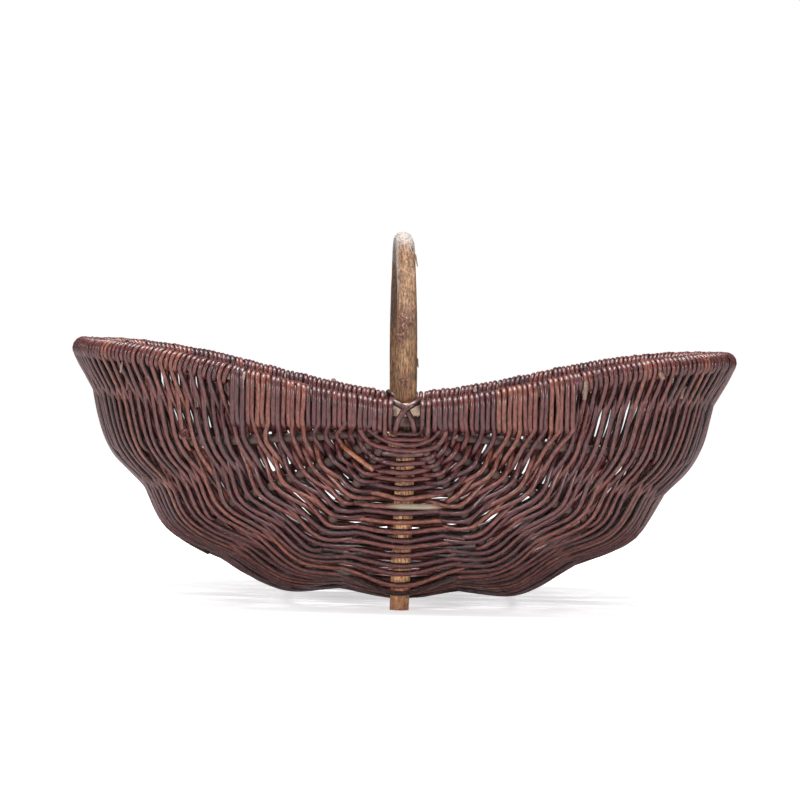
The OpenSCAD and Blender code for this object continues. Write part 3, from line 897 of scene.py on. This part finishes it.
def corner_rods(bundle, back, seed):
    """Rods that come down over the rim beside the crossing, turn square and pass in front of the leg."""
    rng = np.random.default_rng(seed)
    shift = CROSSING_X[back]
    rods = [(-12.4, 14.6, 155.6), (-17.0, 19.6, 150.4), (-31.0, 29.0, 145.6), (-38.0, 35.0, 140.8)]
    for k, (left, right, level) in enumerate(rods):
        radius = rng.uniform(2.15, 2.35)
        front = -RIM_B - RIM_D / 2 - radius - 0.2
        leg = float(leg_y(np.array(level))) - 9.4 - radius
        tip = -RIB_DEPTH - 2.3 - radius
        half = []
        for x, way in ((left, 1), (right, -1)):
            top = RIM_HEIGHT + RIM_D / 2 + radius
            if k < 2:
                half.append([
                    (x, -RIM_B + RIM_D / 2 + radius, BAR_HEIGHT),
                    (x, -RIM_B + RIM_D / 2 + radius - 0.6, RIM_HEIGHT + 2),
                    (x, -RIM_B, top),
                    (x, front + 0.6, RIM_HEIGHT + 3),
                    (x, front, RIM_HEIGHT - 3),
                    (x, front + 0.4, BAR_HEIGHT + 1),
                    (x + way * 0.3, (front * 2 + tip) / 3, level + 5.0),
                    (x + way * 1.0, (front + tip * 2) / 3, level + 2.8),
                    (x + way * 3.3, tip - 0.4, level + 0.4),
                ])
            else:
                half.append([
                    (x, -RIM_B + 8, BAR_HEIGHT - 1),
                    (x - way * 0.5, -RIM_B + 1, BAR_HEIGHT - 6.5),
                    (x + way * 5, tip - 1.5, level + 8 + way),
                    (x + way * 15, tip - 1.0, level + 2.6 + way),
                ])
        points = half[0] + [(0, leg, level)] + half[1][::-1]
        points = np.array(points)
        points[:, 0] += shift
        path, side = loop_path(points, (0, 0, 1), closed=False)
        sideways = np.abs(unit(np.gradient(path, axis=0))[:, :1])
        beside = np.where(path[:, :1] < shift, 1.0, -1.0) * np.array([1.0, 0, 0])
        side = unit(sideways * np.array([0, 0, 1.0]) + (1 - sideways) * beside)
        if back:
            path = mirror_y(path)
            side = mirror_y(side)
        bundle.rod(path, side, radius + wobble(len(path), seed + k, 0.06, 8), 10, rng.uniform(0.35, 0.75),
                   start=rng.uniform(0, 900))


def spare_loops(bundle, back, seed):
    """Plain turns round rim and bar beside the crossing: ovals of width w and height h round their middle."""
    rng = np.random.default_rng(seed)
    a = np.radians(np.arange(0, 360, 20.0))
    middle = (RIM_HEIGHT + BAR_HEIGHT) / 2
    for x in (-19.9, -24.5) if not back else (-24.5, 22.0):
        radius = rng.uniform(2.2, 2.4)
        width = RIM_D / 2 + radius + 0.1
        height = (RIM_HEIGHT - BAR_HEIGHT) / 2 + RIM_D / 2 + radius
        points = np.stack([np.full(len(a), x), -RIM_B + width * np.sign(np.cos(a)) * np.abs(np.cos(a)) ** 0.45,
                           middle + height * np.sin(a)], -1)
        path, side = loop_path(points, (1, 0, 0))
        if back:
            path = mirror_y(path)
        bundle.rod(path, side, radius, 10, rng.uniform(0.3, 0.6), closed=True, start=rng.uniform(0, 900))


# Rod ends and scraps that show in front: points, radius, tone, straw
SCRAPS = [
    ([(-52, -150, 145), (-45, -160, 139), (-34, -162, 131), (-24.5, -161, 124)], 2.3, 1.3, 0.0),
    ([(-183, -131, 152), (-188, -134, 152.5), (-191, -135, 149.5), (-189, -136, 146.5), (-185, -136, 147.5)],
     1.5, 0.6, 0.0),
    ([(-243, -122, 210), (-243.6, -124.5, 205), (-244, -124, 201)], 1.0, 0.5, 0.6),
    ([(-136, -151, 205), (-136, -161, 203), (-136.5, -162, 198), (-136.5, -160, 194)], 1.4, 0.6, 0.6),
    ([(154, -148, 203), (154, -158.5, 202), (153.5, -159.5, 196), (153, -157, 188)], 1.9, 0.6, 0.42),
    ([(217, -134, 214), (219, -138, 211), (221, -139, 206)], 2.4, 0.95, 0.3),
    ([(242, -121, 200), (240, -126, 197), (238, -129, 190)], 1.2, 0.6, 0.35),
    ([(-32, -140, 159), (-27, -150, 158), (-23.5, -158, 157.5)], 3.4, -0.2, 0.0),
    ([(42, -140, 160), (37, -150, 159), (33, -158.5, 158)], 3.5, -0.3, 0.0),
    ([(52, -140, 156), (47, -150, 155), (44, -157, 154.5)], 2.6, -0.3, 0.0),
]


def scraps(bundle):
    for k, (points, radius, tone, straw) in enumerate(SCRAPS):
        path, side = loop_path(points, (0.3, 0, 1), closed=False)
        bundle.rod(path, side, radius + wobble(len(path), 90 + k, 0.08, 3), 10, tone,
                   np.full(len(path), straw), start=37.0 * k)


def rib_rod(k, right, material):
    line = STAKES[k]
    share = np.linspace(0, 1, 90)
    front = line.spot(share)
    radius = line.thick(share) + wobble(90, 40 + k + 5 * right, 0.12, 8)
    side = np.array([np.sin(np.radians(RIB_ANGLES[k - 1])), 0, -np.cos(np.radians(RIB_ANGLES[k - 1]))])
    path = np.concatenate([front, mirror_y(front)[-2::-1]])
    radii = np.concatenate([radius, radius[-2::-1]])
    if right:
        path = path * np.array([-1.0, 1, 1])
        side = side * np.array([-1.0, 1, 1])
    bundle = Bundle()
    bundle.rod(path, side, radii, 14, start=300.0 * k + 77 * right)
    name = ("rib_right_" if right else "rib_left_") + str(k)
    return bundle.build(name + "_rod", material, "rib_rods", [name])


def squared(x, radius, sides):
    """A round section that is flattened to r / (|cos a|^n + |sin a|^n)^(1/n) beside the crossing."""
    a = np.linspace(0, 2 * np.pi, sides, endpoint=False)[None, :]
    n = 2 + 3.5 * np.exp(-(x[:, None] / 16) ** 4)
    section = (np.abs(np.cos(a)) ** n + np.abs(np.sin(a)) ** n) ** (-1 / n) * (0.94 + 0.03 * n)
    return section * np.broadcast_to(np.asarray(radius, float), x.shape)[:, None]


def rim_rod(material):
    line = STAKES[0]
    share = np.linspace(0, 1, 100)[:-1]
    one = line.spot(share)
    two = mirror_y(line.spot(1 - share))
    path = np.concatenate([one, two, one * np.array([-1, -1, 1.0]), two * np.array([-1, -1, 1.0])])
    bundle = Bundle()
    bundle.rod(path, (0, 0, 1), squared(path[:, 0], RIM_D / 2, 24), 24, closed=True)
    return bundle.build("rim_rod", material, "rim_rods", ["rim_hoop"])


def rim_y(x):
    """The rim in plan is a superellipse."""
    return -RIM_B * (1 - (np.abs(x) / RIM_A) ** RIM_FULLNESS) ** (1 / RIM_FULLNESS)


def bar_rod(back, material):
    half = BAR_LENGTH / 2
    x = np.linspace(-half, half, 90)
    path = np.stack([x, rim_y(x), np.full(90, BAR_HEIGHT)], -1)
    if back:
        path = mirror_y(path)
    radius = BAR_D / 2 * np.interp(np.abs(x), [half * 0.9, half], [1, 0.68]) + wobble(90, 21 + back, 0.08, 9)
    bundle = Bundle()
    bundle.rod(path, (0, 0, 1), squared(x, radius, 24), 24, start=500.0 * back)
    name = "edge_bar_back" if back else "edge_bar_front"
    return bundle.build(name + "_rod", material, "rim_rods", [name])


def bottom_rod(material):
    angle = np.radians(np.linspace(4, 90, 60))
    front = keel_spot(angle)
    path = np.concatenate([front, mirror_y(front)[-2::-1]])
    bundle = Bundle()
    bundle.rod(path, (1, 0, 0), RIB_D / 2 + wobble(len(path), 61, 0.12, 8), 14, start=900.0)
    return bundle.build("bottom_rod", material, "rib_rods", ["bottom_rib"])


# Knots of the stick: height, angle round the stick (0 in front, towards the right), size, rise
FRONT_KNOTS = [
    (252.0, -0.35, 5.6, 1.0), (245.0, -0.05, 5.6, 0.9), (238.0, -0.55, 6.2, 0.9), (247.0, 0.40, 4.0, 0.7),
    (257.0, 0.75, 3.6, 0.8), (288.0, -0.75, 3.2, 1.4), (197.5, -0.30, 4.0, 0.7), (120.0, 0.6, 3.0, 0.5),
    (234.0, -1.0, 3.6, 0.7), (60.0, -0.4, 2.6, 0.4),
]


def handle_stick(material):
    """A tube along the arch and the legs: arch (-R sin a, z + H cos a), bend, and straight legs.
    Its radius swells at the knots by rise * exp(-(distance / size)^2)."""
    a = np.radians(np.linspace(0, 90, 110))
    arch = np.stack([np.zeros(110), -ARCH_R * np.sin(a), ARCH_Z + ARCH_RISE * np.cos(a)], -1)
    z = np.concatenate([np.linspace(ARCH_Z, BEND_Z, 30)[1:], np.linspace(BEND_Z, 0.0, 60)[1:]])
    leg = np.stack([np.zeros(len(z)), leg_y(z), z], -1)
    front = np.concatenate([arch, leg])
    path = np.concatenate([mirror_y(front)[::-1], front[1:]])
    run = np.concatenate([[0], np.cumsum(np.linalg.norm(np.diff(path, axis=0), axis=1))])
    share = run / run[-1]
    places = [0, 0.25, 0.365, 0.5, 0.64, 0.745, 0.785, 0.815, 0.855, 0.925, 1]
    path[:, 0] = np.interp(share, places, [-3.7, -4.4, -6.3, -3.9, 0.4, 1.45, 2.2, 3.0, 2.0, 1.4, 0.2])
    thin = np.interp(np.linspace(0, 1, 420), places, [1, 0.97, 0.87, 0.91, 0.87, 1, 0.93, 0.84, 0.88, 0.98, 1.05])
    even = np.linspace(0, run[-1], 420)
    even[[1, -2]] = even[[1, -2]] + np.array([1.6, -1.6])
    path = np.stack([np.interp(even, run, path[:, k]) for k in range(3)], -1)
    sides = 48
    around = np.linspace(0, 2 * np.pi, sides, endpoint=False)
    radius = (leg_r(np.maximum(path[:, 2], 0)) * thin)[:, None] * np.ones(sides)
    rng = np.random.default_rng(5)
    for wave in range(14):
        turns = rng.integers(1, 4)
        radius = radius + rng.uniform(0.04, 0.16) * np.cos(
            turns * around[None, :] + rng.uniform(0, 6.3) + even[:, None] * rng.uniform(0.008, 0.06))
    for wave in range(10):
        turns = rng.integers(5, 12)
        radius = radius + 0.07 * np.cos(
            turns * around[None, :] + rng.uniform(0, 6.3) + even[:, None] * rng.uniform(-0.02, 0.02))
    knot = np.zeros_like(radius)
    front_half = np.arange(420) > 210
    for height, angle, size, rise in FRONT_KNOTS:
        place = np.argmin(np.abs(path[:, 2] - height) + 1000 * ~front_half)
        turn = (around[None, :] - (0.5 * np.pi - angle) + np.pi) % (2 * np.pi) - np.pi
        away = ((even[:, None] - even[place]) / size) ** 2 + (turn * 9 / size) ** 2
        swell = np.exp(-away)
        radius = radius + rise * (swell * 1.2 - np.exp(-away * 5) * 1.0)
        knot = np.maximum(knot, np.clip(np.exp(-away * 0.8) * 1.3, 0, 0.9))
    # Painted highlight: a pale strip down the left side of the near leg, and the arch's top from 298 mm up
    left = (around[None, :] - np.pi + np.pi) % (2 * np.pi) - np.pi
    width = np.interp(even / even[-1], [0.40, 0.5, 0.57, 0.66, 0.72], [0.1, 0.9, 0.75, 0.42, 0.1])[:, None]
    painted_side_highlight = np.exp(-(left / width) ** 2) * np.clip((0.73 - even / even[-1]) / 0.1, 0, 1)[:, None]
    painted_side_highlight = painted_side_highlight * (even > even[-1] * 0.42)[:, None]
    painted_highlight = np.maximum(np.clip((path[:, 2:3] - 298) / 26, 0, 1) * 1.0, painted_side_highlight * 0.9)
    bundle = Bundle()
    bundle.rod(path, (1, 0, 0), radius, sides, flat=True, start=0.0)
    u_way = np.array([1.0, 0, 0])
    for low, high, away in ((0.575, 0.60, 1.6), (0.725, 0.735, 0.9)):
        a, b = int(low * 420), int(high * 420) + 1
        lifted = path[a:b] + u_way * (radius[a:b, :1] + np.linspace(0.0, away, b - a)[:, None])
        bundle.rod(lifted, u_way, np.linspace(0.9, 0.45, b - a), 8, start=40.0)
    return bundle, knot, painted_highlight


def build_basket():
    bark = rod_bark()
    ribs = rib_bark()
    pale = peeled_rod()
    stick = stick_bark()
    rim_rod(pale)
    for back in (False, True):
        # Painted shade: the bar is pale wood like the rim, but takes the ribs' darker bark, as it lies in shade under
        # the rim and the lashing
        bar_rod(back, ribs)
        half = "back" if back else "front"
        bundles = [Bundle() for _ in range(3)]
        lay_rods(bundles, 4 if back else 3, back)
        groups = [["weave_" + half + "_1", "weave_" + half + "_2", "edge_wrap_" + half + "_left",
                   "edge_wrap_" + half + "_right"],
                  ["weave_" + half + "_3", "weave_" + half + "_4"],
                  ["weave_" + half + "_5", "weave_" + half + "_6"]]
        corner_rods(bundles[0], back, 31 + back)
        spare_loops(bundles[0], back, 51 + back)
        if not back:
            scraps(bundles[0])
        for bundle, nodes, place in zip(bundles, groups, ("upper", "middle", "lower")):
            bundle.build(half + "_weave_" + place, bark, "weaving_rods", nodes)
        knots = Bundle()
        lashing(knots, back, 70 + back)
        knots.build(half + "_lashing", bark, "lashing_rods", ["cross_lashing_" + half])
    for k in (1, 2, 3):
        rib_rod(k, False, ribs)
        rib_rod(k, True, ribs)
    bottom_rod(ribs)
    bundle, knot, painted_highlight = handle_stick(stick)
    bundle.values["knot"][0] = knot.ravel()
    # The stick's straw attribute holds its painted highlight
    bundle.values["straw"][0] = painted_highlight.ravel()
    bundle.build("handle_stick", stick, "handle_stick", ["handle"])


def build_room():
    """A white floor, a white surrounding for the camera, and soft lamps from above and in front."""
    mesh = bpy.data.meshes.new("floor")
    mesh.from_pydata([(-6, -6, 0), (6, -6, 0), (6, 9, 0), (-6, 9, 0)], [], [(0, 1, 2, 3)])
    mesh.materials.append(floor_finish())
    floor = bpy.data.objects.new("floor", mesh)
    bpy.context.scene.collection.objects.link(floor)
    world = bpy.data.worlds.new("white_room")
    world.use_nodes = True
    bpy.context.scene.world = world
    nodes = world.node_tree.nodes
    links = world.node_tree.links
    light = nodes["Background"]
    light.inputs["Color"].default_value = (1, 1, 1, 1)
    light.inputs["Strength"].default_value = 0.09
    seen = nodes.new("ShaderNodeBackground")
    seen.inputs["Color"].default_value = (1, 1, 1, 1)
    seen.inputs["Strength"].default_value = 1.0
    path = nodes.new("ShaderNodeLightPath")
    mix = nodes.new("ShaderNodeMixShader")
    links.new(path.outputs["Is Camera Ray"], mix.inputs[0])
    links.new(light.outputs[0], mix.inputs[1])
    links.new(seen.outputs[0], mix.inputs[2])
    links.new(mix.outputs[0], nodes["World Output"].inputs["Surface"])
    lamps = [("top_lamp", (-0.1, -0.1, 1.7), (0, 0, 0), 0.95, 41.0),
             ("left_lamp", (-1.7, -1.9, 0.66), (1.37, 0, -0.73), 0.4, 26.0),
             ("right_lamp", (1.7, -2.0, 0.44), (1.455, 0, 0.70), 0.4, 22.0)]
    for name, place, turn, size, power in lamps:
        data = bpy.data.lights.new(name, "AREA")
        data.shape = "RECTANGLE"
        data.size = size
        data.size_y = size * 0.8
        data.energy = power
        lamp = bpy.data.objects.new(name, data)
        lamp.location = place
        lamp.rotation_euler = turn
        bpy.context.scene.collection.objects.link(lamp)


bpy.context.scene.view_settings.view_transform = "Standard"
set_camera()
build_basket()
build_room()
bpy.context.view_layer.update()
